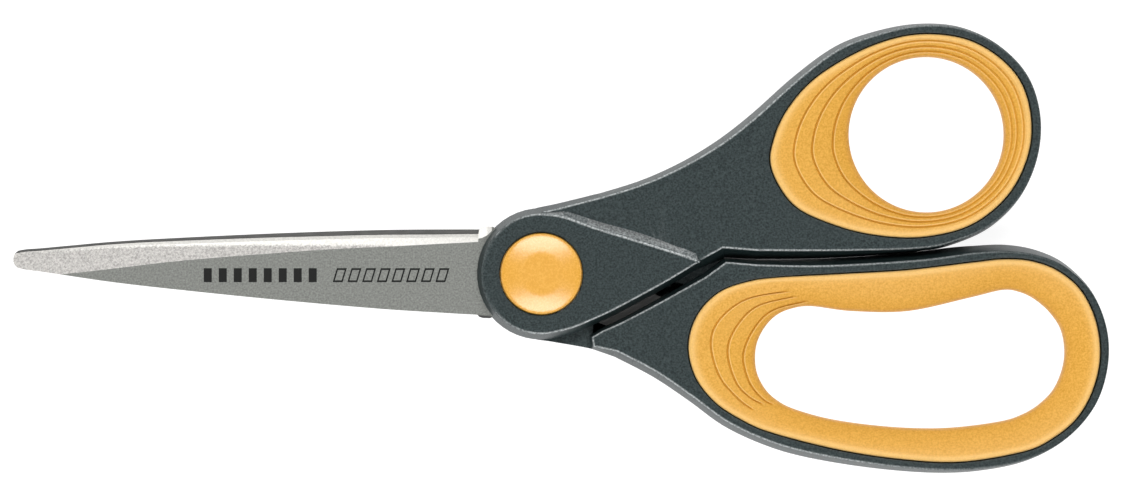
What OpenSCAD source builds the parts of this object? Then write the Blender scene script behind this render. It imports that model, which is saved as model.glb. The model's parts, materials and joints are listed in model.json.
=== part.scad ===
// Office scissors, 203 mm long, with moulded handles, soft grips and a capped pivot screw.
//
// The pivot axis is the Z axis, the blades point to -X and the handles to +X. The scissors lie on
// the back cap's flat face at z = 0, and everything is drawn about the mid-plane between the two
// blades, then lifted by half the thickness. The front half (thumb) turns, the back half (fingers)
// holds the screw. Both blades are the same stamping: the back one is the front one turned over.

/* [Pivot] */
// Outer radius of the round head about the pivot
head_r = 12.2; // [12:0.1:13]
// Radius of the well that a cap sits in
well_r = 7.7; // [7.5:0.05:8]
// Visible radius of a cap
cap_r = 7.55; // [7:0.05:7.6]
// Radius of the flat middle of a cap
cap_flat_r = 3.9; // [3:0.1:5]
// Wall thickness of a cap
cap_wall = 1.1; // [0.8:0.1:1.5]
// Radius of the screw's ground shoulder
shoulder_r = 2.9; // [2.5:0.05:3.2]
// Radial running clearance of the blades on the shoulder
running_gap = 0.05; // [0.02:0.01:0.1]
// Radius of the screw's head
screw_head_r = 4.6; // [4:0.1:5]
// Height of the screw's head
screw_head_h = 1.5; // [1.2:0.1:1.8]
// Radius of the screw's thread
thread_r = 2; // [1.5:0.1:2.2]
// Width of the lock nut across its flats
nut_flats = 7; // [7:0.1:8]
// Height of the lock nut
nut_h = 2.4; // [2:0.1:2.6]

/* [Blades] */
// Distance from the pivot to the tips
blade_reach = 98; // [98:0.5:99]
// Thickness of the blade steel
blade_t = 1.6; // [1.4:0.1:1.8]
// Gap between the two blades' inner faces
blade_gap = 0.1; // [0.06:0.02:0.2]
// Angle of the blades' centreline below the handles' X axis
blade_turn = 1.6; // [1:0.1:2]
// Slope of the ground bevel to the blade's face
bevel_slope = 15; // [12:1:16]
// Slope of the narrow honed strip along the cutting edge
edge_slope = 50; // [40:1:60]

/* [Handles] */
// Thickness over the two caps, which is the thickness of the scissors
thickness = 12.6; // [12.4:0.1:13]
// Height of the raised drop round the cap above the mid-plane
drop_h = 5.5; // [5.4:0.1:5.6]
// Height of an arm's face above the mid-plane where it leaves the head
arm_h = 4.2; // [4:0.1:4.6]
// Height of a loop's face above the mid-plane
loop_h = 6; // [5.8:0.1:6.1]
// Clearance of the moulded plastic from the mid-plane
mid_gap = 0.15; // [0.12:0.01:0.2]
// Gap between the two arms when the scissors are closed
stop_gap = 0.25; // [0.2:0.05:0.4]

/* [Grips] */
// Height of a grip's rolled edge above the mid-plane, where the loop is thickest
bead_h = 6.25; // [6.1:0.05:6.3]
// Height above the mid-plane of the straight wall in a finger hole
hole_wall_h = 2.4; // [2:0.1:3]
// Thickness of the handle's web inside a grip
web_t = 4.4; // [3:0.1:5]

/* [Hidden] */
$fn = 48;

shell_colour = "DarkSlateGray";
grip_colour = "SandyBrown";
steel_colour = "Silver";
nylon_colour = "WhiteSmoke";

mid_z = thickness / 2;
blade_in = blade_gap / 2;
blade_out = blade_in + blade_t;
past = 1;           // how far a cutting solid runs past the face that it cuts
edge_steps = 4;     // points on each stretch of a handle's outline
grip_steps = 3;     // points on each stretch of a grip's outline
arc_steps = 32;     // points on the round of the head

// Screw stack above and below the blades
washer_play = 0.02;
glide_t = 0.28;
glide_r = 5.4;
spring_r = 4.2;
spring_t = 0.5;
spring_rise = 0.2;
thread_gap = 0.05;
stack_r = 5.7;      // opening in the head's floor round the screw's head or the nut
floor_h = 3;        // height above the mid-plane of the ledge that a cap sits on
slot_w = 1.1;
slot_d = 0.7;
screw_seat = blade_out + washer_play + glide_t;
nut_seat = blade_out + spring_t + spring_rise;
thread_past = 0.3;  // how far the thread stands out of the nut
screw_end = nut_seat + nut_h + thread_past;

// Cap: the skirt stands on the ledge, the top slopes from the flat to the rim
cap_rim_h = drop_h + 0.05;
cap_edge = 0.3;
skirt_gap = 0.04;
skirt_h = 1.4;
skirt_top = floor_h + skirt_h;

// Blade outline: distance from the pivot and half width, from the heel to the tip
heel = [[2, 8.2], [9, 8.05], [11, 8]];
taper = [[12, 7.9], [16, 7.8], [30, 7.3], [50, 6.1], [70, 4.6], [80, 3.7], [90, 2.5]];
edge_set_back = 0.45;
tip_w = 1.15;
tip_nose = 1;       // how far the tip's nose reaches past its two corners
nose_w = 0.4;
bevel_start = [12, 5.6];
bevel_end = [90, -2.6];
edge_land = 0.1;    // flat left along the cutting edge below the honed strip
honed_lap = 0.1;    // how far the honed strip's flats run into each other
root_r = 8.4;
tang_end = [21.5, 8];
tang_r = 4.4;
tang_holes = [[14, 5], [20.5, 7.6]];
tang_hole_r = 1.5;

// Thumb half: edges at the mid-plane, right-handed round the outline
drop_under = [[3.8, -11.6], [6.5, -10.9], [10.5, -9.1], [14.5, -7.2], [22.5, -2.9], [29.5, 1.1], [34, 3]];
closing_line = [[40, 2.7], [50, 2.8], [60, 3.3], [70, 4.2]];
thumb_outer = [
    [75.6, 5.2], [82.9, 8.4], [88.6, 13.9], [91.9, 21.1], [92.6, 29], [90.3, 36.6], [84.9, 42.4],
    [77.7, 45.8], [69.8, 46.4], [61.9, 45], [54.5, 42.2], [47, 36.8], [39, 29.7], [32.7, 24.8],
    [25.9, 20.7], [18.6, 17.4], [11, 15]
];
thumb_shoulder = [[3.2, 13.1], [-2.2, 12]];
drop_over = [[31.5, 3.4], [26, 5.1], [18, 7.2], [10, 9.8], [5.5, 11.2], [1.5, 12.1]];

// Finger half
finger_outer = [
    [75.5, 4.6], [80, 5], [86, 5.4], [91.8, 4.4], [97.2, 1.8], [102.2, -3.4], [104.9, -10.3],
    [105, -17.5], [102.6, -24.6], [97.4, -30.6], [90.2, -34.6], [81.5, -36.5], [72.3, -36.9],
    [60.4, -35.9], [48.6, -33.9], [41, -31.6], [33.8, -28.2], [27.3, -23.5], [20.7, -19.1],
    [13.6, -15.4], [9.2, -13.9]
];
finger_shoulder = [[2, -12.6], [-2.2, -12]];

// Inner end of each half's far side, clear of the other half's head and drop
arm_inner = [[8.7, 11.4], [11, 10.1], [15, 8.2], [22, 4.4]];
thumb_back_join = [[25, 3.3], [33, 2.85]];
arm_end = [8.7, 14.4];
finger_back_join = [[23.5, 2.6], [33, 2.6]];
finger_front_join = [[30, 0.1], [34, 2.6]];

// Grips: matched points on the outer edge and on the finger hole, right-handed
thumb_hole = [71, 25.8];
thumb_hole_r = 14.3;
thumb_grip_edge = [
    [91, 25.8], [88.8, 36], [80.9, 42.8], [71, 44.6], [61.4, 42.5], [51.6, 37.1], [45.9, 31.2],
    [42.9, 25], [42.5, 19.4], [46.4, 12.9], [52.9, 9.4], [61.4, 7.1], [71, 6.7], [80.4, 9.3],
    [87.7, 16]
];
finger_grip_edge = [
    [85.9, 2.9], [79.9, 2.3], [68, 0.9], [56.2, 0.2], [44.2, -0.5], [38.3, -1.3], [32.7, -3.4],
    [28.7, -7.7], [27.1, -13.3], [28.4, -19.1], [32, -23.8], [36.9, -27.1], [42.4, -29.5],
    [53.9, -32.5], [65.7, -34.4], [77.5, -35], [89.3, -33.1], [94.7, -30.7], [99.3, -26.9],
    [102.3, -21.7], [103.7, -15.5], [103, -9], [100.3, -3.2], [96, 0.6], [91, 2.5]
];
finger_hole_edge = [
    [85.5, -3], [79.5, -4.4], [68, -6.9], [57.5, -6.9], [50.1, -6], [46.2, -6.5], [43.3, -7.9],
    [41.1, -10.4], [39.8, -13.6], [39.8, -17.6], [41.2, -20.9], [43.4, -23.2], [47, -25.1],
    [54.5, -27.1], [65, -28.4], [75, -28.6], [84.5, -27.5], [88.8, -26.2], [92.3, -24],
    [95, -20.8], [96.6, -15.9], [96.2, -11], [94.3, -7.6], [91.5, -4.9], [88.6, -3.4]
];
web_reach = 0.6;    // how far the web reaches from the outer edge towards the finger hole
roll = [[0, -0.9], [0.06, -0.2], [0.15, 0], [0.4, -0.4], [0.7, -1.3], [0.92, -2.4]];
arm_rise = [12, 48]; // X where an arm's face starts to rise, and where it reaches the loop's height

// Height of a handle's face above the mid-plane
function face_h(x) =
    arm_h + (loop_h - arm_h) * min(max((x - arm_rise[0]) / (arm_rise[1] - arm_rise[0]), 0), 1);

// A smooth curve through points. Each stretch is a cubic that also looks at the neighbouring points.
function between(a, b, c, d, t) =
    0.5 * (2 * b + (c - a) * t + (2 * a - 5 * b + 4 * c - d) * t * t + (3 * b - a - 3 * c + d) * t * t * t);
function closed_curve(p, steps) = let (n = len(p)) [
    for (i = [0 : n - 1], k = [0 : steps - 1])
        between(p[(i + n - 1) % n], p[i], p[(i + 1) % n], p[(i + 2) % n], k / steps)
];
function open_curve(p) = let (n = len(p)) [
    for (i = [0 : n - 2], k = [0 : edge_steps - 1])
        between(p[max(i - 1, 0)], p[i], p[i + 1], p[min(i + 2, n - 1)], k / edge_steps),
    p[n - 1]
];
function flipped(p) = [for (q = p) [q.x, -q.y]];
function backwards(p) = [for (i = [len(p) - 1 : -1 : 0]) p[i]];
function first(p, n) = [for (i = [0 : n - 1]) p[i]];
function last(p) = p[len(p) - 1];
function lowered(p, d) = [for (q = p) [q.x, q.y - d]];
function head_arc(from, to) = [
    for (i = [1 : arc_steps - 1]) let (a = from + (to - from) * i / arc_steps) head_r * [cos(a), sin(a)]
];
function bearing(p) = atan2(p.y, p.x);

// Outlines of the two halves, seen from the front, at the front and at the back of the mid-plane
thumb_front = concat(
    open_curve(drop_under),
    open_curve(concat(closing_line, thumb_outer, thumb_shoulder)),
    head_arc(bearing(last(thumb_shoulder)), 360 + bearing(drop_under[0]))
);
thumb_back = concat(
    open_curve(concat(arm_inner, thumb_back_join, closing_line, thumb_outer)),
    [arm_end]
);
drop = concat(
    open_curve(first(drop_under, 6)),
    open_curve(drop_over),
    head_arc(bearing(last(drop_over)), 360 + bearing(drop_under[0]))
);
finger_closing = lowered(closing_line, stop_gap);
finger_front = concat(
    open_curve(concat(flipped(arm_inner), finger_front_join)),
    open_curve(concat(finger_closing, finger_outer))
);
finger_back = concat(
    open_curve(concat(flipped(first(drop_under, 4)), finger_back_join, finger_closing, finger_outer,
        finger_shoulder)),
    head_arc(360 + bearing(last(finger_shoulder)), -bearing(drop_under[0]))
);

// Matched rings of a grip
thumb_seat = closed_curve(thumb_grip_edge, grip_steps);
thumb_eye = [for (q = thumb_seat) thumb_hole + thumb_hole_r * (q - thumb_hole) / norm(q - thumb_hole)];
finger_seat = closed_curve(finger_grip_edge, grip_steps);
finger_eye = closed_curve(finger_hole_edge, grip_steps);
function across(seat, eye, t) = [for (i = [0 : len(seat) - 1]) seat[i] * (1 - t) + eye[i] * t];

// Blade outline in the blade's own frame, tip to -X, spine to -Y
spine_side = open_curve([for (s = concat(heel, taper)) [-s.x, -s.y]]);
cutting_edge = concat([for (s = taper) [s.x, s.y - edge_set_back]], [[blade_reach - tip_nose, tip_w]]);
edge_side = [for (s = concat(heel, cutting_edge)) [-s.x, s.y]];
tang_side = tang_r * [-tang_end.y, tang_end.x] / norm(tang_end);
tip_end = [[tip_nose - blade_reach, -tip_w], [-blade_reach, -nose_w], [-blade_reach, nose_w]];

module at_mid_plane() {
    translate([0, 0, mid_z]) children();
}

// A prism on an outline, from one height to another
module slab(outline, low, high) {
    translate([0, 0, low])
        linear_extrude(height = high - low)
            polygon(outline);
}

module disc(r, low, high) {
    translate([0, 0, low]) cylinder(r = r, h = high - low);
}

// Everything above a plane that holds the line from start to end, given from the pivot, and slopes
// down to +Y. It ends at start, and runs on past end by extra.
module ground_off(start, end, height, slope, extra) {
    run = end - start;
    long = norm(run) + extra;
    translate([-start.x, start.y, height])
        rotate([0, 0, -atan2(run.y, run.x)])
            rotate([-slope, 0, 0])
                translate([-long, -root_r, 0])
                    cube([long, 2 * root_r, root_r]);
}

// One blade with its tang, pivot hole and anchor holes, inner face down
module blade_stamping() {
    difference() {
        union() {
            slab(concat(spine_side, tip_end, backwards(edge_side)), blade_in, blade_out);
            disc(root_r, blade_in, blade_out);
            slab([tang_side, tang_end + tang_side, tang_end - tang_side, -tang_side], blade_in, blade_out);
            translate(tang_end) disc(tang_r, blade_in, blade_out);
        }
        disc(shoulder_r + running_gap, 0, blade_out + past);
        for (hole = tang_holes) translate(hole) disc(tang_hole_r, 0, blade_out + past);
        ground_off(bevel_start, bevel_end, blade_out, bevel_slope, root_r);
        for (i = [0 : len(cutting_edge) - 2])
            ground_off(cutting_edge[i], cutting_edge[i + 1], blade_in + edge_land, edge_slope, honed_lap);
    }
}

module front_blade_solid() {
    rotate([0, 0, -blade_turn]) blade_stamping();
}

module back_blade_solid() {
    rotate([0, 0, -blade_turn]) rotate([180, 0, 0]) blade_stamping();
}

// Side profile of both handles: level at the head, rising to the loops
module side_profile() {
    half = [
        [-2 * head_r, arm_h], [arm_rise[0], arm_h], [arm_rise[1], loop_h], [2 * blade_reach, loop_h]
    ];
    rotate([90, 0, 0])
        linear_extrude(height = 2 * blade_reach, center = true)
            polygon(concat(half, [for (i = [3 : -1 : 0]) [half[i].x, -half[i].y]]));
}

// Seat of a grip: open in front and behind, with a web left in the middle
module grip_seat(seat, eye) {
    slab(seat, web_t / 2, loop_h + past);
    slab(seat, -loop_h - past, -web_t / 2);
    slab(across(seat, eye, web_reach), -web_t, web_t);
}

// Well for the cap and opening for the screw's head or nut, on the upper side
module cap_well() {
    disc(well_r, floor_h, drop_h + past);
    disc(stack_r, 0, floor_h + past);
}

module thumb_handle() {
    color(shell_colour) at_mid_plane() difference() {
        union() {
            intersection() {
                union() {
                    slab(thumb_front, mid_gap, loop_h);
                    slab(thumb_back, -loop_h, mid_gap);
                }
                side_profile();
            }
            slab(drop, mid_gap, drop_h);
        }
        grip_seat(thumb_seat, thumb_eye);
        cap_well();
        front_blade_solid();
    }
}

module finger_handle() {
    color(shell_colour) at_mid_plane() difference() {
        union() {
            intersection() {
                union() {
                    slab(finger_back, -loop_h, -mid_gap);
                    slab(finger_front, -mid_gap, loop_h);
                }
                side_profile();
            }
            slab(flipped(drop), -drop_h, -mid_gap);
        }
        grip_seat(finger_seat, finger_eye);
        rotate([180, 0, 0]) cap_well();
        back_blade_solid();
    }
}

// A ring of soft plastic that rolls over from its outer edge into the finger hole, front and back.
// It follows the handle's face, so it is thinner towards the arm.
module grip(seat, eye) {
    half = concat([for (r = roll) [r[0], bead_h + r[1]]], [[1, hole_wall_h]]);
    section = concat(half, [for (i = [len(half) - 1 : -1 : 0]) [half[i][0], -half[i][1]]]);
    n = len(seat);
    m = len(section);
    points = [for (s = section, p = across(seat, eye, s[0])) [p.x, p.y, s[1] * face_h(p.x) / loop_h]];
    faces = [
        for (j = [0 : m - 1], i = [0 : n - 1])
            let (a = j * n, b = (j + 1) % m * n, k = (i + 1) % n)
                each [[a + i, b + i, b + k], [a + i, b + k, a + k]]
    ];
    difference() {
        polyhedron(points = points, faces = faces);
        difference() {
            translate([0, -blade_reach, -web_t / 2]) cube([2 * blade_reach, 2 * blade_reach, web_t]);
            slab(across(seat, eye, web_reach), -web_t, web_t);
        }
    }
}

module thumb_grip() {
    color(grip_colour) at_mid_plane() grip(thumb_seat, thumb_eye);
}

module finger_grip() {
    color(grip_colour) at_mid_plane() grip(finger_seat, finger_eye);
}

module cap() {
    skirt_r = well_r - skirt_gap;
    rotate_extrude()
        polygon([
            [0, mid_z], [cap_flat_r, mid_z], [cap_r - cap_edge, cap_rim_h], [cap_r, cap_rim_h - cap_edge],
            [cap_r, skirt_top], [skirt_r, skirt_top], [skirt_r, floor_h], [skirt_r - cap_wall, floor_h],
            [skirt_r - cap_wall, mid_z - 2 * cap_wall], [cap_flat_r, mid_z - cap_wall], [0, mid_z - cap_wall]
        ]);
}

module front_cap() {
    color(grip_colour) at_mid_plane() cap();
}

module back_cap() {
    color(grip_colour) at_mid_plane() rotate([180, 0, 0]) cap();
}

module front_blade() {
    color(steel_colour) at_mid_plane() front_blade_solid();
}

module back_blade() {
    color(steel_colour) at_mid_plane() back_blade_solid();
}

// Slotted shoulder screw: the front blade turns on the shoulder, the nut goes on behind
module pivot_screw() {
    color(steel_colour) at_mid_plane() difference() {
        union() {
            disc(screw_head_r, screw_seat, screw_seat + screw_head_h);
            disc(shoulder_r, -blade_out, screw_seat);
            disc(thread_r, -screw_end, -blade_out);
        }
        translate([-screw_head_r - past, -slot_w / 2, screw_seat + screw_head_h - slot_d])
            cube([2 * screw_head_r + 2 * past, slot_w, slot_d + past]);
    }
}

module lock_nut() {
    color(steel_colour) at_mid_plane()
        translate([0, 0, -nut_seat - nut_h])
            difference() {
                cylinder(r = nut_flats / 2 / cos(30), h = nut_h, $fn = 6);
                translate([0, 0, -past]) cylinder(r = thread_r + thread_gap, h = nut_h + 2 * past);
            }
}

// Coned washer between the back blade and the nut, which keeps the blades pressed together
module spring_washer() {
    inner = thread_r + 2 * thread_gap;
    color(steel_colour) at_mid_plane()
        rotate_extrude()
            polygon([
                [inner, -nut_seat], [spring_r, -nut_seat + spring_rise], [spring_r, -blade_out],
                [inner, -nut_seat + spring_t]
            ]);
}

// Nylon washer that the screw's head turns on
module glide_washer() {
    color(nylon_colour) at_mid_plane() difference() {
        disc(glide_r, blade_out + washer_play, screw_seat);
        disc(shoulder_r + running_gap, 0, screw_seat + past);
    }
}

front_blade();
back_blade();
thumb_handle();
finger_handle();
thumb_grip();
finger_grip();
front_cap();
back_cap();
pivot_screw();
lock_nut();
spring_washer();
glide_washer();
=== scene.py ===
"""Office scissors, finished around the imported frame: two blades, two moulded handles with soft
grips, and the capped pivot screw that joins them. Lengths are metres; mm turns millimetres."""

import json
import math

import bmesh
import bpy
from mathutils import Matrix, Vector


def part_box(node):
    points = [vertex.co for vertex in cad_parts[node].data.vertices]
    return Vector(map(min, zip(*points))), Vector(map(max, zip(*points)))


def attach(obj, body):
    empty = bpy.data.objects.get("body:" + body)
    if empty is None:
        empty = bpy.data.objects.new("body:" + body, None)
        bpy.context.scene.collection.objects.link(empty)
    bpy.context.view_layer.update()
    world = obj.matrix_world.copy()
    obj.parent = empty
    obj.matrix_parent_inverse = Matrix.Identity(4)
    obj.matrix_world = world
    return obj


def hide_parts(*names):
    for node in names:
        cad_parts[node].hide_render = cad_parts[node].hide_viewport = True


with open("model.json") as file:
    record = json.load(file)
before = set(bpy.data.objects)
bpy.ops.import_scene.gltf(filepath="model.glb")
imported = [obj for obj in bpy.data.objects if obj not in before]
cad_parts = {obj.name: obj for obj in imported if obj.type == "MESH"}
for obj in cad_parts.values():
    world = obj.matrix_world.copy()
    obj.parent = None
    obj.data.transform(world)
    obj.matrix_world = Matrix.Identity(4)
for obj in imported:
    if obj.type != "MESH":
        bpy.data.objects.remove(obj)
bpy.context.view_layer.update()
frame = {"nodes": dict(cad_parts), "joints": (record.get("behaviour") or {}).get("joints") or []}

# ---------------------------------------------------------------------------------------------
# Blades. Each is one stamping of stainless steel with its tang, coated dull grey against glue,
# then ground bare along one side. The back blade is the front one turned over.
# ---------------------------------------------------------------------------------------------
mm = 0.001
mid_z = frame["joints"][0]["pos_m"][2]
blade_low, blade_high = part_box("front_blade")
blade_in = blade_low.z - mid_z
blade_out = blade_high.z - mid_z
blade_reach = 98.0
blade_turn = math.radians(-1.6)

# Distance from the pivot and half width of the spine, from heel to tip
spine_shape = [
    (12, 7.9), (16, 7.8), (30, 7.3), (50, 6.1), (70, 4.6), (80, 3.7), (88, 2.75), (93, 2.15), (95.6, 1.9),
    (97.1, 1.6),
]
edge_set_back = [(12, 0.85), (21, 0.95), (40, 0.85), (60, 0.65), (75, 0.5), (97, 0.45)]
tip_shape = [(97.7, -1.1), (97.95, -0.55), (98, 0.1), (97.9, 0.75), (97.6, 1.1)]
heel_shape = [(2, 8.2), (8.5, 8.15), (9.3, 8.5), (10.6, 8.5), (11.3, 8.3), (11.75, 7.8), (11.85, 7.1)]
heel_bevel = [(8.6, 8.6), (9.4, 7.7), (10.2, 6.9), (11.2, 6.35), (11.85, 6.2)]
bevel_shape = [(11.8, 5.6), (20, 4.95), (30, 4.15), (40, 3.4), (50, 2.4), (60, 1.35), (70, 0.15), (80, -1.35),
               (89, -2.6), (99, -4.1)]
root_r = 8.4
tang_end = Vector((21.5, 8.0))
tang_r = 4.4
pivot_hole_r = 2.95
anchor_holes = [(14, 5), (20.5, 7.6)]
anchor_r = 1.5


def smooth_line(points, steps, closed=False):
    """A smooth line through the points, which may carry further values after x and y."""
    count = len(points)
    line = []
    for i in range(count if closed else count - 1):
        if closed:
            near = [points[(i + k) % count] for k in (-1, 0, 1, 2)]
        else:
            near = [points[min(max(i + k, 0), count - 1)] for k in (-1, 0, 1, 2)]
        for k in range(steps):
            t = k / steps
            line.append(tuple(
                0.5 * (2 * q + (r - p) * t + (2 * p - 5 * q + 4 * r - s) * t**2 + (3 * q - p - 3 * r + s) * t**3)
                for p, q, r, s in zip(*near)
            ))
    return line if closed else line + [tuple(points[-1])]


def value_at(table, x):
    """A straight-line reading of a table of (x, value)."""
    for (a, va), (b, vb) in zip(table, table[1:]):
        if x <= b:
            return va + (vb - va) * max(x - a, 0) / (b - a)
    return table[-1][1]


def arc_points(centre, radius, first, last):
    """Points on an arc, about every seven degrees, with both its ends."""
    count = max(2, round(abs(last - first) / 0.125))
    turns = [first + (last - first) * i / count for i in range(count + 1)]
    return [(centre[0] + radius * math.cos(a), centre[1] + radius * math.sin(a)) for a in turns]


def at_height(points, z):
    """Points in millimetres about the pivot, as places in metres at a height above the mid-plane."""
    return [Vector((p[0] * mm, p[1] * mm, mid_z + z)) for p in points]


def new_loop(bm, places):
    verts = [bm.verts.new(p) for p in places]
    for a, b in zip(verts, verts[1:] + verts[:1]):
        bm.edges.new((a, b))
    return verts


def loop_edges(bm, loop):
    return [bm.edges.get((a, b)) for a, b in zip(loop, loop[1:] + loop[:1])]


def raise_loop(bm, loop, places):
    """Extrudes a closed loop of edges, and moves the new loop to its places."""
    made = bmesh.ops.extrude_edge_only(bm, edges=loop_edges(bm, loop))["geom"]
    fresh = {v for v in made if isinstance(v, bmesh.types.BMVert)}
    raised = []
    for vert, place in zip(loop, places):
        twin = next(e.other_vert(vert) for e in vert.link_edges if e.other_vert(vert) in fresh)
        twin.co = place
        raised.append(twin)
    return raised


def fill(bm, *loops):
    """Fills between closed loops that lie in about one plane, the later ones being holes."""
    edges = [e for loop in loops for e in loop_edges(bm, loop)]
    made = bmesh.ops.triangle_fill(bm, use_beauty=True, edges=edges)["geom"]
    return [f for f in made if isinstance(f, bmesh.types.BMFace)]


def plate(outline, holes, low, high):
    """A flat plate with holes."""
    bm = bmesh.new()
    bottom = [new_loop(bm, at_height(points, low)) for points in [outline] + holes]
    fill(bm, *bottom)
    top = [raise_loop(bm, loop, [v.co + Vector((0, 0, high - low)) for v in loop]) for loop in bottom]
    fill(bm, *top)
    return bm


def to_object(name, bm, *materials):
    bmesh.ops.recalc_face_normals(bm, faces=bm.faces)
    mesh = bpy.data.meshes.new(name)
    bm.to_mesh(mesh)
    bm.free()
    for material in materials:
        mesh.materials.append(material)
    made = bpy.data.objects.new(name, mesh)
    bpy.context.scene.collection.objects.link(made)
    return made


def combine(base, tool, operation):
    """Joins a tool solid to a base or cuts it away, and removes the tool. A Boolean drops the painted
    edge highlight that the tool's points carry, so that is put back on the points that it left in place."""
    edge_highlight = tool.data.attributes.get("edge_highlight")
    highlight_share = {}
    if edge_highlight:
        highlight_share = {v.co.to_tuple(6): edge_highlight.data[v.index].value for v in tool.data.vertices}
    modifier = base.modifiers.new("combine", "BOOLEAN")
    modifier.object = tool
    modifier.operation = operation
    modifier.solver = "EXACT"
    modifier.material_mode = "TRANSFER"
    view = bpy.context.evaluated_depsgraph_get()
    result = bpy.data.meshes.new_from_object(base.evaluated_get(view))
    base.modifiers.clear()
    base.data = result
    bpy.data.objects.remove(tool)
    bm = bmesh.new()
    bm.from_mesh(result)
    layer = bm.verts.layers.float.get("edge_highlight")
    for vert in bm.verts:
        value = highlight_share.get(vert.co.to_tuple(6))
        if value:
            vert[layer] = value
    bmesh.ops.remove_doubles(bm, verts=bm.verts, dist=2e-6)
    bmesh.ops.dissolve_degenerate(bm, edges=bm.edges, dist=1e-6)
    bm.to_mesh(result)
    bm.free()


def round_edges(piece, width, sharp_degrees, segments=2):
    """Small rounds on a piece's sharp edges, and smooth shading that leaves its flats flat."""
    modifier = piece.modifiers.new("rounds", "BEVEL")
    modifier.width = width
    modifier.segments = segments
    modifier.limit_method = "ANGLE"
    modifier.angle_limit = math.radians(sharp_degrees)
    modifier.use_clamp_overlap = True
    soften(piece, 8)


def soften(piece, sharp_degrees=35):
    for face in piece.data.polygons:
        face.use_smooth = True
    piece.data.set_sharp_from_angle(angle=math.radians(sharp_degrees))
    weights = piece.modifiers.new("flats", "WEIGHTED_NORMAL")
    weights.keep_sharp = True


class Shade:
    """A socket in a material. Sums on it add Math nodes, and node() adds any other node."""

    def __init__(self, tree, socket=None):
        self.tree = tree
        self.socket = socket

    def node(self, kind, settings=None, inputs=None, output=0):
        made = self.tree.nodes.new("ShaderNode" + kind)
        for key, value in (settings or {}).items():
            setattr(made, key, value)
        for key, value in (inputs or {}).items():
            if isinstance(value, Shade):
                self.tree.links.new(value.socket, made.inputs[key])
            else:
                made.inputs[key].default_value = value
        return Shade(self.tree, made.outputs[output])

    def sum(self, operation, *values):
        return self.node("Math", {"operation": operation}, dict(enumerate(values)))

    def __add__(self, other):
        return self.sum("ADD", self, other)

    __radd__ = __add__

    def __sub__(self, other):
        return self.sum("SUBTRACT", self, other)

    def __rsub__(self, other):
        return self.sum("SUBTRACT", other, self)

    def __mul__(self, other):
        return self.sum("MULTIPLY", self, other)

    __rmul__ = __mul__

    def __gt__(self, other):
        return self.sum("GREATER_THAN", self, other)

    def __lt__(self, other):
        return self.sum("LESS_THAN", self, other)

    def __abs__(self):
        return self.sum("ABSOLUTE", self)

    def clipped(self, low, high):
        """0 at low, 1 at high, and held there outside them."""
        return self.node("MapRange", {"clamp": True}, {"Value": self, "From Min": low, "From Max": high})

    def noise(self, place, scale, detail=2.0):
        return self.node("TexNoise", inputs={"Vector": place, "Scale": scale, "Detail": detail})

    def blend(self, low, high):
        """The colour low where this is 0, and high where it is 1."""
        return self.node("Mix", {"data_type": "RGBA"}, {0: self, 6: low, 7: high}, output=2)

    def bump(self, distance, strength=1.0, below=None):
        wires = {"Height": self, "Distance": distance, "Strength": strength}
        if below:
            wires["Normal"] = below
        return self.node("Bump", inputs=wires)


def new_finish(name, **fixed):
    """A material, the start of its shading and its place, with the shader's fixed values set."""
    material = bpy.data.materials.new(name)
    material.use_nodes = True
    tree = material.node_tree
    shader = tree.nodes["Principled BSDF"]
    for key, value in fixed.items():
        shader.inputs[key.replace("_", " ")].default_value = value
    shade = Shade(tree)
    place = shade.node("TexCoord", output=3)
    return material, shade, place


def wear(material, **wires):
    """Links what varies over a surface to the shader."""
    tree = material.node_tree
    shader = tree.nodes["Principled BSDF"]
    for key, value in wires.items():
        tree.links.new(value.socket, shader.inputs[key.replace("_", " ")])


def coated_steel():
    """Dull grey coating with a fine grain, and a plain printed pattern on the front blade only."""
    material, shade, place = new_finish("coated_steel", Specular_IOR_Level=0.2)
    speckle = shade.noise(place, 2900, 3)
    tone = speckle.clipped(0.32, 0.68).blend((0.155, 0.16, 0.149, 1), (0.25, 0.258, 0.24, 1))
    x, y, z = (shade.node("SeparateXYZ", inputs={0: place}, output=i) for i in range(3))
    up = abs(y + 0.00025) < 0.0013
    front = z > mid_z + 0.0012

    bar = (x + 0.0632).sum("MODULO", x + 0.0632, 0.00278)
    solid = (bar > 0.0006) * (bar < 0.0021) * (x > -0.0632) * (x < -0.04096)
    lean = x - (y + 0.00025) * 0.3 + 0.0387
    slot = lean.sum("MODULO", lean, 0.00272)
    outer = (slot > 0.0004) * (slot < 0.00225)
    inner = (slot > 0.0007) * (slot < 0.00195) * (abs(y + 0.00025) < 0.00095)
    open_bars = (outer - outer * inner) * (lean > 0) * (lean < 0.02176)
    ink = (solid + open_bars) * up * front
    wear(
        material,
        Base_Color=ink.blend(tone, (0.004, 0.0045, 0.004, 1)),
        Roughness=speckle * 0.16 + 0.36 + ink * 0.1,
        Metallic=0.7 - ink * 0.7,
        Normal=speckle.bump(0.00002, 0.35),
    )
    return material


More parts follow.
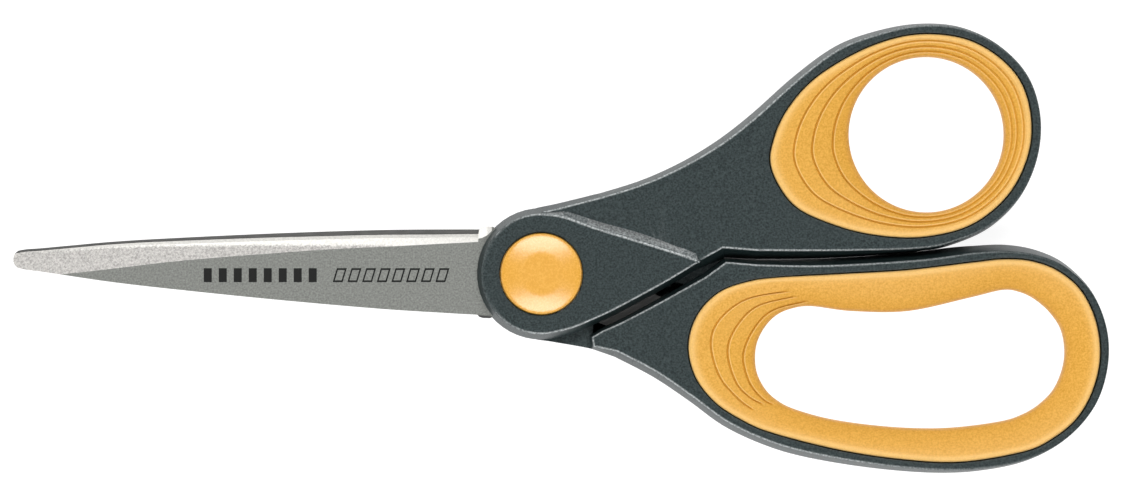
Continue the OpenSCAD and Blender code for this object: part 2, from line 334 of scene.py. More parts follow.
def ground_steel():
    """Bare bevel: coarse bright grit from the wheel, and a whiter polished band along the edge."""
    material, shade, place = new_finish("ground_steel", Metallic=0.45)
    from_edge = shade.node("Attribute", {"attribute_name": "from_edge"}, output=2)
    from_pivot = shade.node("Attribute", {"attribute_name": "from_pivot"}, output=2)
    grit = shade.noise(place, 2600, 3)
    fine = shade.noise(place, 6500, 2)
    band = 0.3 + (91 - from_pivot) * 0.0285 + (grit - 0.5) * 0.8
    polished = (band - from_edge).clipped(-0.25, 0.25)
    grain = (grit * 0.55 + fine * 0.45).clipped(0.38, 0.6)
    rough_tone = grain.blend((0.29, 0.28, 0.268, 1), (0.56, 0.543, 0.52, 1))
    smooth_tone = grain.blend((0.58, 0.57, 0.54, 1), (0.72, 0.705, 0.67, 1))
    wear(
        material,
        Base_Color=polished.blend(rough_tone, smooth_tone),
        Roughness=0.55 - polished * 0.1 + fine * 0.1,
        Normal=(grit * 0.6 + fine * 0.4).bump(0.00005, 0.55),
    )
    return material


def lapped_steel():
    """The inner face, lapped lengthwise so that the blades slide on each other."""
    material, shade, place = new_finish("lapped_steel", Metallic=0.7)
    lines = shade.noise(shade.node("Mapping", inputs={"Vector": place, "Scale": (0.05, 1, 1)}), 9000, 2)
    wear(
        material,
        # The steel's tone, darkened as painted shade for the strip of it that shows in shadow beside the front blade's
        # edge.
        Base_Color=lines.blend((0.075, 0.075, 0.073, 1), (0.15, 0.15, 0.145, 1)),
        Roughness=lines * 0.15 + 0.3,
        Normal=lines.bump(0.000006, 0.3),
    )
    return material


def grinding(start_line, edge_line, high, drop_to):
    """A solid that takes off everything above a slope from a line on the face down past the edge.
    Both lines are (distance, offset) pairs at the same distances, and drop_to gives heights."""
    bm = bmesh.new()
    clear = 2.0
    loops = []
    for (u, v), (_, w), low in zip(start_line, edge_line, drop_to):
        fall = (high - low) / max(v - w, 0.1) if v > w else (high - low) / max(w - v, 0.1)
        ring = [
            Vector((-u * mm, v * mm, mid_z + high * mm)),
            Vector((-u * mm, (w + clear) * mm, mid_z + (low - fall * clear) * mm)),
            Vector((-u * mm, (w + clear) * mm, mid_z + (high + clear) * mm)),
            Vector((-u * mm, v * mm, mid_z + (high + clear) * mm)),
        ]
        loops.append(ring)
    first = new_loop(bm, loops[0])
    bm.faces.new(first)
    last = first
    for ring in loops[1:]:
        last = raise_loop(bm, last, ring)
    bm.faces.new(last)
    return bm


def make_blade(name):
    steps = 6
    spine = smooth_line(spine_shape, steps)
    edge = [(u, v - value_at(edge_set_back, u)) for u, v in spine]
    outline = (
        [(-u, -v) for u, v in heel_shape[:2] + spine]
        + [(-u, v) for u, v in tip_shape]
        + [(-u, v) for u, v in reversed(heel_shape + edge[1:])]
    )
    leave = math.asin(tang_r / root_r)
    aim = math.atan2(tang_end.y, tang_end.x)
    heel_turn = math.atan2(heel_shape[0][1], -heel_shape[0][0])
    outline += arc_points((0, 0), root_r, heel_turn, aim + leave)[1:]
    outline += arc_points(tang_end, tang_r, aim + math.pi / 2, aim - math.pi / 2)
    outline += arc_points((0, 0), root_r, aim - leave, -heel_turn)[:-1]
    holes = [((0, 0), pivot_hole_r)] + [(place, anchor_r) for place in anchor_holes]
    rings = [arc_points(centre, radius, 0, 2 * math.pi)[1:] for centre, radius in holes]
    steel = coated_steel()
    bare = ground_steel()
    stamping = plate(outline, rings, blade_in, blade_out)
    blade = to_object(name, stamping, steel, bare, lapped_steel())
    for face in blade.data.polygons:
        if face.normal.z < -0.5:
            face.material_index = 2

    # The broad bevel, the narrow honed strip along the edge, and the wheel's run-out at the heel
    stations = [11.85] + [12 + 87 * i / 40 for i in range(41)]
    bevel = smooth_line(bevel_shape, steps)
    edge_full = [heel_shape[-1]] + edge + [(97.6, 1.05), (99, 0.95)]
    start = [(u, value_at(bevel, u)) for u in stations]
    rim = [(u, value_at(edge_full, u)) for u in stations]
    low = [blade_in / mm + 0.95 - 0.6 * (u - 12) / 87 for u in stations]
    combine(blade, to_object("bevel", grinding(start, rim, blade_out / mm, low), bare), "DIFFERENCE")
    honed = [(u, v - 0.6) for u, v in rim]
    lows = [blade_in / mm + 0.12 for u in stations]
    combine(blade, to_object("hone", grinding(honed, rim, blade_in / mm + 0.75, lows), bare), "DIFFERENCE")
    crest = [(u, 8.6) for u, v in heel_bevel]
    lows = [blade_out / mm - 0.45] * len(heel_bevel)
    run_out = grinding(heel_bevel[1:], crest[1:], blade_out / mm, lows[1:])
    combine(blade, to_object("run_out", run_out, bare), "DIFFERENCE")

    # Each point's distance from the cutting edge and from the pivot, in mm, for the finish
    points = blade.data.vertices
    from_edge = blade.data.attributes.new("from_edge", "FLOAT", "POINT")
    from_pivot = blade.data.attributes.new("from_pivot", "FLOAT", "POINT")
    for vert in points:
        u = -vert.co.x / mm
        from_edge.data[vert.index].value = value_at(edge_full, u) - vert.co.y / mm
        from_pivot.data[vert.index].value = u
    return blade


front_blade = make_blade("front_blade_steel")
front_blade.data.transform(Matrix.Rotation(blade_turn, 4, "Z"))
back_blade = bpy.data.objects.new("back_blade_steel", front_blade.data.copy())
bpy.context.scene.collection.objects.link(back_blade)
turned_over = (
    Matrix.Translation((0, 0, mid_z))
    @ Matrix.Rotation(blade_turn, 4, "Z")
    @ Matrix.Rotation(math.pi, 4, "X")
    @ Matrix.Rotation(-blade_turn, 4, "Z")
    @ Matrix.Translation((0, 0, -mid_z))
)
back_blade.data.transform(turned_over)
for blade, body, node in ((front_blade, "front_half", "front_blade"), (back_blade, "back_half", "back_blade")):
    round_edges(blade, 0.06 * mm, 25)
    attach(blade, body)
    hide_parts(node)

# ---------------------------------------------------------------------------------------------
# Handles. Each is moulded in hard slate plastic round its blade's tang: a round head with a raised
# drop about the pivot, an arm, and a loop. The two halves differ in their loops, and the finger
# half's head lies behind the thumb half's, turned over.
# ---------------------------------------------------------------------------------------------
head_r = 12.2
head_lean = 1.05
parting_gap = 0.15
arm_h = 4.2
loop_h = 6.0
drop_h = 5.5
rise_from, rise_to = 12.0, 48.0
edge_round = 0.38
web_h = 2.2
web_reach = 0.6
seat_round = 0.22
well_r = 7.7
well_floor = 3.0
stack_r = 5.7

# A skin of plastic that covers the tang where the gap between the arms would show it
tang_lid = [(9.6, 12.5), (9.6, 6), (13, 2.5), (22, 0.9), (27, 2), (26, 8), (15, 13)]

# Outlines at the parting line: x, y, how far the wall leans in, and the round of its edge
under_tip = [(29.5, 1.1, 1.2), (34, 3, 1.8)]
closing_edge = [(40, 2.7, 1.6), (50, 2.8, 1.45), (60, 3.3, 1.05), (70, 4.2, 0.5)]
thumb_edge = [
    (75.6, 5.2, 0.5), (82.9, 8.4, 0.3), (88.6, 13.9, 0.15), (91.9, 21.1, 0.1), (92.6, 29, 0.1),
    (90.3, 36.6, 0.1), (84.9, 42.4, 0.15), (77.7, 45.8, 0.25), (69.8, 46.4, 0.4), (61.9, 45, 0.7),
    (54.5, 42.2, 0.8), (47, 36.8, 0.95), (39, 29.7, 1.0), (32.7, 24.8, 0.95), (25.9, 20.7, 0.85),
    (18.6, 17.4, 0.8), (11, 15, 0.8),
]
thumb_shoulder = [(3.2, 13.1, 0.9), (-2, 11.85, 1.05), (-5.2, 9.6, 1), (-6, 5, 1)]
finger_closing = [(40, 2.69, 0.95), (50, 2.79, 1.25), (60, 3.29, 1.4), (70, 4.19, 1.6)]
finger_edge = [
    (75.5, 4.85, 1.6), (80, 5.2, 1.3), (86, 5.4, 1.2), (91.8, 4.4, 0.9), (97.2, 1.8, 0.5),
    (102.2, -3.4, 0.2), (104.9, -10.3, 0.1), (105, -17.5, 0.1), (102.6, -24.6, 0.1),
    (97.4, -30.6, 0.15), (90.2, -34.6, 0.25), (81.5, -36.5, 0.4), (72.3, -36.9, 0.6),
    (60.4, -35.9, 0.8), (48.6, -33.9, 0.95), (41, -31.6, 0.95), (33.8, -28.2, 1), (27.3, -23.5, 1),
    (20.7, -19.1, 1.1), (13.6, -15.4, 1.1),
]
finger_shoulder = [(9.2, -13.9, 0.9), (2, -12.6, 1), (-2, -11.85, 1.05), (-5.2, -9.6, 1), (-6, -5, 1)]
far_end = [(11, 10.1, 0.55), (15, 8.2, 0.65), (22, 4.4, 0.75)]

# The drop is given round its face, from under the head to its point and back over
drop_under = [
    (2.9, -10.75, 1.05, 0), (6, -9.95, 1, 0), (10.1, -8.25, 0.95, 0), (14.1, -6.35, 0.95, 0),
    (22.1, -2.05, 0.95, 0), (27, 0.85, 0.95, 0), (29.4, 2.3, 0.9, 0),
]
drop_over = [(28.5, 2.62, 1.1, 1), (25, 3.85, 1.3, 1), (18, 6.05, 1.6, 1), (10, 8.5, 1.35, 1), (4, 10.6, 1.1, 1), (0, 11.15, 1.05, 0)]
thumb_seat_shape = [
    (91, 25.8), (88.8, 36), (80.9, 42.8), (71, 44.6), (61.4, 42.5), (51.6, 37.1), (45.9, 31.2),
    (42.9, 25), (42.5, 19.4), (46.4, 12.9), (52.9, 9.4), (61.4, 7.1), (71, 6.7), (80.4, 9.3),
    (87.7, 16),
]
thumb_hole = Vector((71.4, 25.8))
thumb_hole_r = 14.4
finger_seat_shape = [
    (85.9, 2.9), (79.9, 2.3), (68, 0.9), (56.2, 0.2), (44.2, -0.5), (38.3, -1.3), (32.7, -3.4),
    (28.7, -7.7), (27.1, -13.3), (28.4, -19.1), (32, -23.8), (36.9, -27.1), (42.4, -29.5),
    (53.9, -32.5), (65.7, -34.4), (77.5, -35), (89.3, -33.1), (94.7, -30.7), (99.3, -26.9),
    (102.3, -21.7), (103.7, -15.5), (103, -9), (100.3, -3.2), (96, 0.6), (91, 2.5),
]
finger_hole_shape = [
    (85.5, -3), (79.5, -4.4), (68, -6.9), (57.5, -6.9), (50.1, -6), (46.2, -6.5), (43.3, -7.9),
    (41.1, -10.4), (39.8, -13.6), (39.8, -17.6), (41.2, -20.9), (43.4, -23.2), (47, -25.1),
    (54.5, -27.1), (65, -28.4), (75, -28.6), (84.5, -27.5), (89, -26.2), (92.6, -24),
    (95.4, -20.8), (97, -15.9), (96.6, -11), (94.7, -7.6), (91.8, -4.9), (88.8, -3.4),
]
thumb_seat = smooth_line(thumb_seat_shape, 12, closed=True)
thumb_eye = []
for place in thumb_seat:
    out = Vector(place) - thumb_hole
    thumb_eye.append(tuple(thumb_hole + thumb_hole_r * out.normalized()))
finger_seat = smooth_line(finger_seat_shape, 8, closed=True)
finger_eye = smooth_line(finger_hole_shape, 8, closed=True)


def flipped(points):
    return [(p[0], -p[1], *p[2:]) for p in points]


def across(seat, eye, t):
    """The ring that lies t of the way from a grip's seat to its finger hole."""
    return [tuple((1 - t) * a + t * b for a, b in zip(p, q)) for p, q in zip(seat, eye)]


def head_arc(start, end):
    """Points round the head's face from one to the other, anticlockwise."""
    first = math.atan2(start[1], start[0])
    last = first + (math.atan2(end[1], end[0]) - first) % (2 * math.pi)
    return [(x, y, head_lean, 0) for x, y in arc_points((0, 0), head_r - head_lean, first, last)[1:-1]]


def set_in(points, distances):
    """The closed outline moved in by a distance at each point."""
    moved = []
    for i, point in enumerate(points):
        here = Vector(point[:2])
        before = (here - Vector(points[i - 1][:2])).normalized()
        after = (Vector(points[(i + 1) % len(points)][:2]) - here).normalized()
        along = (before + after).normalized()
        reach = distances[i] / max(along.dot(after), 0.6)
        moved.append((here.x - along.y * reach, here.y + along.x * reach))
    return moved


def raise_wall(bm, loop, outline, feet, top, wall_highlight, from_face=False):
    """Raises a leaning wall from a loop of verts on an anticlockwise outline, and rounds its edge.
    The outline is where the wall stands, or the edge of its face. Feet are the heights it starts at."""
    edge_highlight = bm.verts.layers.float["edge_highlight"]
    shift = [p[2] if from_face else 0 for p in outline]
    rounds = [edge_round + 1.1 * max(0, -p[0] / head_r - 0.45) for p in outline]
    for step in range(6):
        t = step / 5
        low, flat = (1 - t) ** 2, t * t
        inset, heights = [], []
        for (_, _, lean), size, foot in zip(outline, rounds, feet):
            slant = math.hypot(lean * mm, top - foot)
            back_off = low * min(size * mm / slant, 0.6)
            inset.append(lean - back_off * lean + flat * size)
            heights.append(top - back_off * (top - foot))
        ring = at_height(set_in(outline, [a - b for a, b in zip(inset, shift)]), 0)
        for place, height in zip(ring, heights):
            place.z += height
        loop = raise_loop(bm, loop, ring)
        # Painted highlight: paler along the middle of the rounded edge and down the drop's step wall, fading round the
        # left of the head and towards the loops' far ends.
        for vert, highlight_share in zip(loop, wall_highlight):
            highlight_fade = min(1, max(0.1, vert.co.x / mm / 8 + 1.2)) * min(1, max(0, 1.95 - vert.co.x / mm / 50))
            vert[edge_highlight] = max(highlight_share * (1 - t), (4 * t * (1 - t)) ** 2) * highlight_fade
    return loop


def anticlockwise(points):
    return sum(p[0] * q[1] - q[0] * p[1] for p, q in zip(points, points[1:] + points[:1])) > 0


def raised_drop(outline, base, top):
    """The drop's outline is round its face. A fourth value says where its wall only comes down to
    the arm's face, on a gentler slope, and goes straight down inside the arm."""
    if not anticlockwise(outline):
        outline = outline[::-1]
    side = math.copysign(1, top)
    bm = bmesh.new()
    bm.verts.layers.float.new("edge_highlight")
    grown = set_in(outline, [-p[2] for p in outline])
    bottom = new_loop(bm, at_height(grown, base))
    fill(bm, bottom)
    feet = []
    for x, y, lean, on_arm in outline:
        arm_face = side * (loop_h * face_height(x * mm) - 0.05) * mm
        feet.append(base + side * 0.05 * mm + on_arm * (arm_face - base))
    ring = at_height(grown, 0)
    for place, foot in zip(ring, feet):
        place.z += foot
    loop = raise_loop(bm, bottom, ring)
    # The step wall down to the arm starts with a share of painted highlight.
    wall_highlight = [0.3 * p[3] for p in outline]
    edge_highlight = bm.verts.layers.float["edge_highlight"]
    for vert, highlight_share in zip(loop, wall_highlight):
        vert[edge_highlight] = highlight_share
    fill(bm, raise_wall(bm, loop, [p[:3] for p in outline], feet, top, wall_highlight, from_face=True))
    # The step wall's faces take the paler second plastic, a painted highlight.
    for face in bm.faces:
        if all(0.1 < vert[edge_highlight] < 0.31 for vert in face.verts):
            face.material_index = 1
    return bm


def arm_and_loop(shared, main, far, seat, eye, side):
    """An arm and loop in one piece. Both of its sides rise from the parting line, where they share
    most of their outline, and the opening for the grip has a web half way through."""
    if not anticlockwise(shared + main):
        shared, main, far = shared[::-1], main[::-1], far[::-1]
    bm = bmesh.new()
    bm.verts.layers.float.new("edge_highlight")
    base = side * parting_gap * mm
    common, near_end, far_end = ([bm.verts.new(p) for p in at_height(part, base)] for part in (shared, main, far))
    for a, b in zip(common, common[1:]):
        bm.edges.new((a, b))
    for end in (near_end, far_end):
        chain = [common[-1]] + end + [common[0]]
        for a, b in zip(chain, chain[1:]):
            bm.edges.new((a, b))
    fill(bm, [common[-1]] + near_end + [common[0]] + far_end[::-1])

    web = across(seat, eye, web_reach)
    lip = [(-seat_round, 1.0), (-0.3 * seat_round, 1 - 0.3 * seat_round / loop_h), (0, 1 - seat_round / loop_h)]
    sections = [(set_in(seat, [grow] * len(seat)), side * share * loop_h * mm) for grow, share in lip]
    sections += [(seat, side * web_h * mm), (web, side * web_h * mm)]
    sections += [(ring, -height) for ring, height in reversed(sections)]
    first = inner = new_loop(bm, at_height(*sections[0]))
    for ring, height in sections[1:]:
        inner = raise_loop(bm, inner, at_height(ring, height))
    top = side * loop_h * mm
    for end, rest, height, opening in ((near_end, main, top, first), (far_end, far, -top, inner)):
        outline = shared + rest
        feet = [base] * len(outline)
        fill(bm, raise_wall(bm, common + end, outline, feet, height, [0] * len(outline)), opening)

    # The arm's end is thinner, in narrow steps along X
    for i in range(16):
        x = (rise_from + (rise_to - rise_from) * i / 15) * mm
        everything = bm.verts[:] + bm.edges[:] + bm.faces[:]
        bmesh.ops.bisect_plane(bm, geom=everything, dist=1e-7, plane_co=(x, 0, 0), plane_no=(1, 0, 0))
    for vert in bm.verts:
        vert.co.z = mid_z + base + (vert.co.z - mid_z - base) * face_height(vert.co.x)
    return bm


def face_height(x):
    """Height of an arm's or loop's face above the mid-plane, as a share of the loop's."""
    t = min(max((x / mm - rise_from) / (rise_to - rise_from), 0), 1)
    return (arm_h + (loop_h - arm_h) * t * t * (3 - 2 * t)) / loop_h


def well_cutter(side):
    """What the cap's well takes out of a head: a recess with a broken edge, and a way through."""
    profile = [(0, -1), (stack_r, -1), (stack_r, well_floor), (well_r, well_floor), (well_r, drop_h - 0.2),
               (well_r + 0.25, drop_h + 0.05), (well_r + 0.25, drop_h + 1), (0, drop_h + 1)]
    return spun([(r, side * h) for r, h in profile])


def spun(profile, steps=96):
    """Spins a profile of radius and height about the pivot, from axis to axis or as a closed ring."""
    bm = bmesh.new()
    verts = [bm.verts.new((r * mm, 0, mid_z + h * mm)) for r, h in profile]
    pairs = list(zip(verts, verts[1:]))
    if profile[0][0] > 0:
        pairs.append((verts[-1], verts[0]))
    edges = [bm.edges.new(pair) for pair in pairs]
    bmesh.ops.spin(
        bm, geom=verts + edges, cent=(0, 0, mid_z), axis=(0, 0, 1), angle=2 * math.pi, steps=steps, use_merge=True
    )
    bmesh.ops.remove_doubles(bm, verts=bm.verts, dist=1e-6)
    return bm


def slate_plastic(name, dark, light):
    """Fine matt texture, smoother along the rounded edges, which a painted highlight makes paler."""
    material, shade, place = new_finish(name, Specular_IOR_Level=0.3)
    edge_highlight = shade.node("Attribute", {"attribute_name": "edge_highlight"}, output=2)
    grain = shade.noise(place, 2700, 3)
    fine = shade.noise(place, 7000, 2)
    # Painted highlight along the rounded edges, speckled by the grain.
    highlighted = edge_highlight * (0.3 + grain.clipped(0.35, 0.65) * 0.7)
    wear(
        material,
        Base_Color=highlighted.blend(grain.clipped(0.32, 0.68).blend(dark, light), (0.5, 0.53, 0.53, 1)),
        Roughness=fine * 0.16 + 0.34 - edge_highlight * 0.2,
        Normal=(grain * 0.7 + fine * 0.3).bump(0.0001, 0.6),
    )
    return material


plastic = slate_plastic("slate_plastic", (0.0, 0.007, 0.008, 1), (0.030, 0.046, 0.047, 1))
# A paler copy of the slate plastic: a painted highlight for the drop's step wall.
step_highlight_plastic = slate_plastic("slate_plastic_step_highlight", (0.05, 0.055, 0.055, 1), (0.2, 0.215, 0.215, 1))


def make_handle(name, shared, main, far, drop, seat, eye, side):
    """side is 1 for the half whose head lies in front, and -1 for the other."""
    handle = to_object(name, arm_and_loop(shared, main, far, seat, eye, side), plastic, step_highlight_plastic)
    raised = raised_drop(drop, side * (parting_gap + 0.03) * mm, side * drop_h * mm)
    combine(handle, to_object("drop", raised, plastic, step_highlight_plastic), "UNION")
    lid = [(x, side * y) for x, y in tang_lid]
    skin = plate(lid, [], side * (parting_gap + 0.3) * mm, side * (parting_gap - 0.2) * mm)
    combine(handle, to_object("lid", skin, plastic), "UNION")
    combine(handle, to_object("well", well_cutter(side), plastic), "DIFFERENCE")
    return handle


steps = 8
thumb_shared = under_tip[1:] + smooth_line(closing_edge + thumb_edge, steps)
thumb_main = (
    smooth_line([thumb_edge[-1]] + thumb_shoulder, steps)[1:]
    + [(-5, -4, 0.6), (12, -4, 0.6), (24, 0.6, 0.6), (28, 1.0, 0.6)]
    + smooth_line(under_tip, 2)[:-1]
)
thumb_far = [(8.9, 14.5, 0.5), (8.9, 11.6, 0.45)]
thumb_far += smooth_line(far_end + [(25, 3.3, 0.8), (31, 2.95, 1.2), under_tip[1]], steps)[:-1]
thumb_drop = (
    smooth_line(drop_under, steps)
    + smooth_line([drop_under[-1]] + drop_over, steps)[1:]
    + head_arc(drop_over[-1], drop_under[0])
)
finger_corner = (34, 3.03, 0.8)
finger_shared = [finger_corner] + smooth_line(finger_closing + finger_edge, steps)
finger_main = (
    smooth_line([finger_edge[-1]] + finger_shoulder, steps)[1:]
    + [(-5, 4, 0.6), (12, 4, 0.6), (20, 3.0, 0.6)]
    + smooth_line([(24, 2.6, 0.8), (32, 2.6, 0.8)], 4)
)
finger_far = smooth_line([finger_edge[-1], (9.3, -13.9, 0.5)], steps)[1:] + [(8.9, -11.5, 0.45)]
finger_far += smooth_line(flipped(far_end) + [(30, 0.1, 0.8)], steps)
finger_drop = flipped(thumb_drop)
thumb_handle = make_handle(
    "thumb_handle_shell", thumb_shared, thumb_main, thumb_far, thumb_drop, thumb_seat, thumb_eye, 1
)
finger_handle = make_handle(
    "finger_handle_shell", finger_shared, finger_main, finger_far, finger_drop, finger_seat, finger_eye, -1
)
for handle, body, node in (
    (thumb_handle, "front_half", "thumb_handle"), (finger_handle, "back_half", "finger_handle"),
):
    soften(handle)
    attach(handle, body)
    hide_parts(node)

# ---------------------------------------------------------------------------------------------
# Grips. A ring of soft amber rubber is moulded over the web in each loop. It stands a little proud
# of the shell as a bead, then rolls down into the finger hole, with three fine grooves round it.
# ---------------------------------------------------------------------------------------------
bead_h = 6.25
hole_wall_h = 2.4
seam = 0.16
groove_half = 0.22
groove_depth = 0.3

# How far the grip lies below its bead: near its edge in mm, and across it as a share
edge_fall = [(0, 1.2), (0.05, 0.6), (0.14, 0.36), (0.3, 0.15), (0.5, 0.03), (0.7, 0), (0.95, 0.05), (1.5, 0.25),
             (1.9, 0.3)]
roll_fall = smooth_line([(0.15, 0), (0.4, 0.35), (0.7, 1.2), (0.92, 2.2), (0.985, 3.1), (1, 3.55)], 6)
# How strong the bead's painted highlight is, paler than the rest, by the distance from its edge in mm
bead_highlight = [(0, 0.7), (0.1, 1), (0.28, 0.5), (0.9, 0.5), (1.6, 0.1), (2.2, 0)]

# Where the thumb grip's grooves lie across it: to the right, top, left and bottom of the hole
thumb_grooves = [(0.30, 0.31, 0.30, 0.42), (0.53, 0.55, 0.53, 0.62), (0.72, 0.76, 0.79, 0.80)]
finger_grooves = [
    [(45.7, -3.2), (38, -4.7), (33, -8.5), (31.4, -13), (33, -19), (36.5, -23.2), (39.2, -25.2)],
    [(47.2, -4.1), (40, -6), (36, -10), (34.5, -14.5), (36, -20), (38.5, -22.8), (41, -24.2)],
    [(49.3, -5), (43, -6.7), (39.5, -10), (37.4, -15), (38.5, -20), (41, -23.2), (42.8, -24.2)],
]
finger_groove_rest = (0.35, 0.58, 0.8)


def round_the_hole(shares):
    """A groove's share across the thumb grip and its depth, at each station round the hole."""
    right, top, left, bottom = shares
    found = []
    for place in thumb_seat:
        away = (Vector(place) - thumb_hole).normalized()
        x, y = away.x, away.y
        share = x * x * (right if x > 0 else left) + y * y * (top if y > 0 else bottom)
        found.append((share, 1.0 - 0.35 * max(x, 0)))
    return found


def along_the_line(points, rest):
    """The same for a groove of the finger grip that starts and ends, and fades out at its ends."""
    line = smooth_line(points, 12)
    found = []
    for p, q in zip(finger_seat, finger_eye):
        start, way = Vector(p), Vector(q) - Vector(p)
        best = None
        for k, (a, b) in enumerate(zip(line, line[1:])):
            step = Vector(b) - Vector(a)
            turn = way.cross(step)
            if abs(turn) < 1e-9:
                continue
            t = (Vector(a) - start).cross(step) / turn
            u = (Vector(a) - start).cross(way) / turn
            if 0 <= u <= 1 and 0 < t < 1:
                best = (t, min(1, 0.3 + (k + u) * 0.3, 0.3 + (len(line) - 1 - k - u) * 0.3))
        found.append(best)
    count = len(found)
    full = []
    for i, here in enumerate(found):
        if here is None:
            ends = []
            for way in (-1, 1):
                k = next(k for k in range(1, count) if found[(i + way * k) % count])
                ends.append((found[(i + way * k) % count][0], k))
            near, far = sorted(ends, key=lambda end: end[1])
            blend = min(near[1] / 24, 1)
            here = (near[0] + (rest - near[0]) * blend * blend * (3 - 2 * blend), 0)
        full.append(here)
    return full


def make_grip(name, seat, eye, grooves, material):
    """Rings from the outer edge to the finger hole in front, then down the hole and out behind."""
    widths = [(Vector(q) - Vector(p)).length for p, q in zip(seat, eye)]
    stations = range(len(seat))
    rings = []
    for reach in (0, 0.04, 0.1, 0.18, 0.3, 0.45, 0.65, 0.9, 1.2, 1.5):
        rings.append([(min((seam + reach) / widths[i], grooves[0][i][0] - reach * 0.02 - 0.06), 0, 0) for i in stations])
    last = [row[0] for row in rings[-1]]
    for groove in grooves + [None]:
        if groove:
            first = [groove[i][0] - groove_half / widths[i] for i in stations]
        else:
            first = [0.93] * len(seat)
        for k in (1, 2, 3):
            rings.append([(last[i] + (first[i] - last[i]) * k / 4, 0, 0) for i in stations])
        if not groove:
            break
        # The third value paints shade into the groove where positive, and a highlight along its side towards the hole
        # where negative.
        for k, cut in ((-1, 0), (-0.6, 0.35), (-0.2, 0.95), (0.2, 0.95), (0.6, 0.35), (1, -0.2), (1.7, -0.2), (2.2, 0)):
            rings.append([
                (groove[i][0] + k * groove_half / widths[i], cut * groove[i][1] * groove_depth, cut * groove[i][1])
                for i in stations
            ])
        last = [row[0] for row in rings[-1]]
    rings += [[(share, 0, 0) for i in stations] for share in (0.93, 0.95, 0.97, 0.985, 0.995, 1)]
    bm = bmesh.new()
    # The points carry the painted shade in the grooves and the bead's painted highlight.
    dark = bm.verts.layers.float.new("groove")
    pale = bm.verts.layers.float.new("bead")
    sheets = []
    for ring in rings:
        sheet = []
        for (x0, y0), (x1, y1), width, (share, drop, depth) in zip(seat, eye, widths, ring):
            share = min(share, 1)
            x, y = x0 + (x1 - x0) * share, y0 + (y1 - y0) * share
            reach = share * width - seam
            height = bead_h - value_at(edge_fall, reach) - value_at(roll_fall, share) - drop
            sheet.append((x, y, height * face_height(x * mm), depth, value_at(bead_highlight, reach)))
        sheets.append(sheet)
    loop = first = None
    for side, order in ((1, sheets), (-1, sheets[::-1])):
        for sheet in order:
            places = [Vector((x * mm, y * mm, mid_z + side * h * mm)) for x, y, h, *_ in sheet]
            loop = raise_loop(bm, loop, places) if loop else new_loop(bm, places)
            first = first or loop
            for vert, row in zip(loop, sheet):
                vert[dark], vert[pale] = row[3:]
    bmesh.ops.bridge_loops(bm, edges=loop_edges(bm, loop) + loop_edges(bm, first))
    return to_object(name, bm, material)


def amber_rubber():
    material, shade, place = new_finish("amber_rubber", Specular_IOR_Level=0.25)
    grain = shade.noise(place, 2700, 3)
    patch = shade.noise(place, 240, 3)
    groove = shade.node("Attribute", {"attribute_name": "groove"}, output=2)
    bead = shade.node("Attribute", {"attribute_name": "bead"}, output=2)
    plain_tone = grain.clipped(0.3, 0.7).blend((0.575, 0.285, 0.032, 1), (0.74, 0.395, 0.07, 1))
    # Painted highlight: paler on the bead and along one side of each groove.
    highlighted = (bead * 0.8 + (groove * -2).clipped(0, 1)).blend(plain_tone, (0.93, 0.64, 0.27, 1))
    wear(
        material,
        # Painted shade: darker in the grooves.
        Base_Color=groove.clipped(0, 1).blend(highlighted, (0.55, 0.255, 0.02, 1)),
        Roughness=patch * 0.1 + 0.42 - bead * 0.08,
        Normal=grain.bump(0.00006, 0.5),
    )
    return material


rubber = amber_rubber()
thumb_grip = make_grip(
    "thumb_grip_ring", thumb_seat, thumb_eye, [round_the_hole(shares) for shares in thumb_grooves], rubber
)
finger_grip = make_grip(
    "finger_grip_ring", finger_seat, finger_eye,
    [along_the_line(points, rest) for points, rest in zip(finger_grooves, finger_groove_rest)], rubber,
)
for grip, body, node in ((thumb_grip, "front_half", "thumb_grip"), (finger_grip, "back_half", "finger_grip")):
    soften(grip)
    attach(grip, body)
    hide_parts(node)

# ---------------------------------------------------------------------------------------------
# Caps. A thin amber disc snaps into the well on each head and hides the screw or the nut. Its
# middle is flat, and round it the top slopes gently to a fine rounded rim.
# ---------------------------------------------------------------------------------------------
cap_top = mid_z / mm
cap_profile = [
    (0, cap_top), (3.4, cap_top), (3.9, cap_top - 0.02), (4.3, cap_top - 0.08), (5, cap_top - 0.2),
    (6, cap_top - 0.4), (6.8, cap_top - 0.58), (7.15, cap_top - 0.68), (7.38, cap_top - 0.8),
    (7.5, cap_top - 0.98), (7.54, cap_top - 1.25), (7.54, 4.4), (7.66, 4.4), (7.66, 3), (6.56, 3), (6.56, 4.1),
    (3.9, cap_top - 1.1), (0, cap_top - 1.1),
]


def amber_plastic():
    material, shade, place = new_finish(
        "amber_plastic", Specular_IOR_Level=0.7, Coat_Weight=0.4, Coat_Roughness=0.18
    )
    grain = shade.noise(place, 2900, 3)
    tone = grain.clipped(0.35, 0.65)
    wear(
        material,
        Base_Color=tone.blend((0.70, 0.34, 0.04, 1), (0.79, 0.41, 0.065, 1)),
        Roughness=grain * 0.1 + 0.22,
        Normal=grain.bump(0.00005, 0.5),
    )
    return material


cap_finish = amber_plastic()
for name, side, body, node in (
    ("front_cap_disc", 1, "front_half", "front_cap"), ("back_cap_disc", -1, "back_half", "back_cap"),
):
    cap = to_object(name, spun([(r, side * h) for r, h in cap_profile], 128), cap_finish)
    soften(cap)
    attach(cap, body)
    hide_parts(node)

# ---------------------------------------------------------------------------------------------
# Screw stack. A slotted shoulder screw of bright steel, a nylon glide washer under its head, and a
# coned spring washer and lock nut behind. The caps hide them, and their shapes are as packed.
# ---------------------------------------------------------------------------------------------


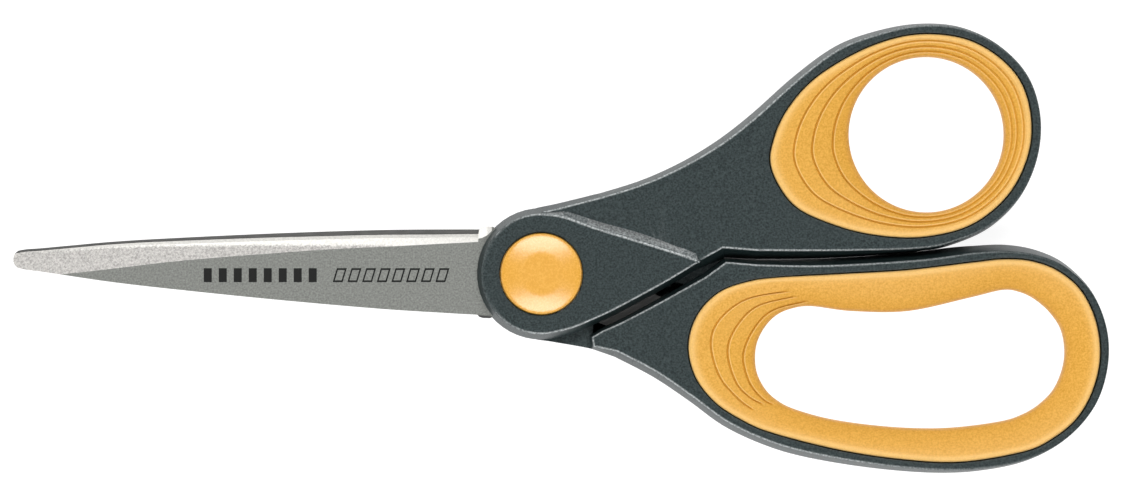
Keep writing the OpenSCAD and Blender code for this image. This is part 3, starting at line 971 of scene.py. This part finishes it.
def turned_steel():
    material, shade, place = new_finish("turned_steel", Metallic=1.0)
    rings = shade.noise(shade.node("Mapping", inputs={"Vector": place, "Scale": (0.2, 0.2, 1)}), 6000, 2)
    wear(
        material,
        Base_Color=rings.blend((0.5, 0.5, 0.49, 1), (0.68, 0.67, 0.65, 1)),
        Roughness=rings * 0.2 + 0.22,
        Normal=rings.bump(0.00001, 0.4),
    )
    return material


def milky_nylon():
    material, shade, place = new_finish("milky_nylon", Specular_IOR_Level=0.4)
    cloud = shade.noise(place, 900, 2)
    wear(
        material,
        Base_Color=cloud.blend((0.72, 0.71, 0.66, 1), (0.82, 0.81, 0.77, 1)),
        Roughness=cloud * 0.2 + 0.4,
    )
    return material


steel_finish = turned_steel()
for node in ("pivot_screw", "lock_nut", "spring_washer"):
    for slot in frame["nodes"][node].material_slots:
        slot.material = steel_finish
nylon_finish = milky_nylon()
for slot in frame["nodes"]["glide_washer"].material_slots:
    slot.material = nylon_finish

# ---------------------------------------------------------------------------------------------
# Stage: a white floor, a soft bank of light on each long side, and a camera straight above.
# ---------------------------------------------------------------------------------------------
scene = bpy.context.scene
scene.view_settings.view_transform = "Standard"

floor_bm = bmesh.new()
bmesh.ops.create_grid(floor_bm, x_segments=1, y_segments=1, size=6)
floor_paint = new_finish("floor_paint", Roughness=0.9, Specular_IOR_Level=0.0, Base_Color=(0.3, 0.3, 0.3, 1),
                         Emission_Color=(1, 1, 1, 1), Emission_Strength=0.92)[0]
floor = to_object("floor", floor_bm, floor_paint)
floor.location.z = -0.05 * mm

# The room is bright low down and dim overhead
world = bpy.data.worlds.new("studio")
scene.world = world
world.use_nodes = True
room = Shade(world.node_tree)
height = room.node("SeparateXYZ", inputs={0: room.node("TexCoord", output=0)}, output=2)
glow = 0.05 + 2.2 * (1 - height.clipped(0, 0.3)) + 0.35 * (1 - height.clipped(0.2, 0.75))
sky = world.node_tree.nodes["Background"]
world.node_tree.links.new(glow.socket, sky.inputs["Strength"])
sky.inputs["Color"].default_value = (1, 1, 1, 1)


def soft_bank(name, place, size, watts):
    """A rectangular light that faces the scissors."""
    light = bpy.data.lights.new(name, "AREA")
    light.shape = "RECTANGLE"
    light.size, light.size_y = size
    light.energy = watts
    bank = bpy.data.objects.new(name, light)
    bank.location = place
    bank.rotation_euler = Vector(place).to_track_quat("Z", "Y").to_euler()
    scene.collection.objects.link(bank)


soft_bank("bank_far", (0, 0.52, 1.0), (0.9, 0.38), 8.5)
soft_bank("bank_near", (0, -0.52, 1.0), (0.9, 0.38), 8)

lens = bpy.data.cameras.new("camera")
lens.lens = 600
lens.sensor_width = 36
lens.clip_start = 0.05
view_width = 0.2104
camera = bpy.data.objects.new("camera", lens)
camera.location = (0.00477, 0.00479, mid_z + view_width * lens.lens / lens.sensor_width)
scene.collection.objects.link(camera)
scene.camera = camera
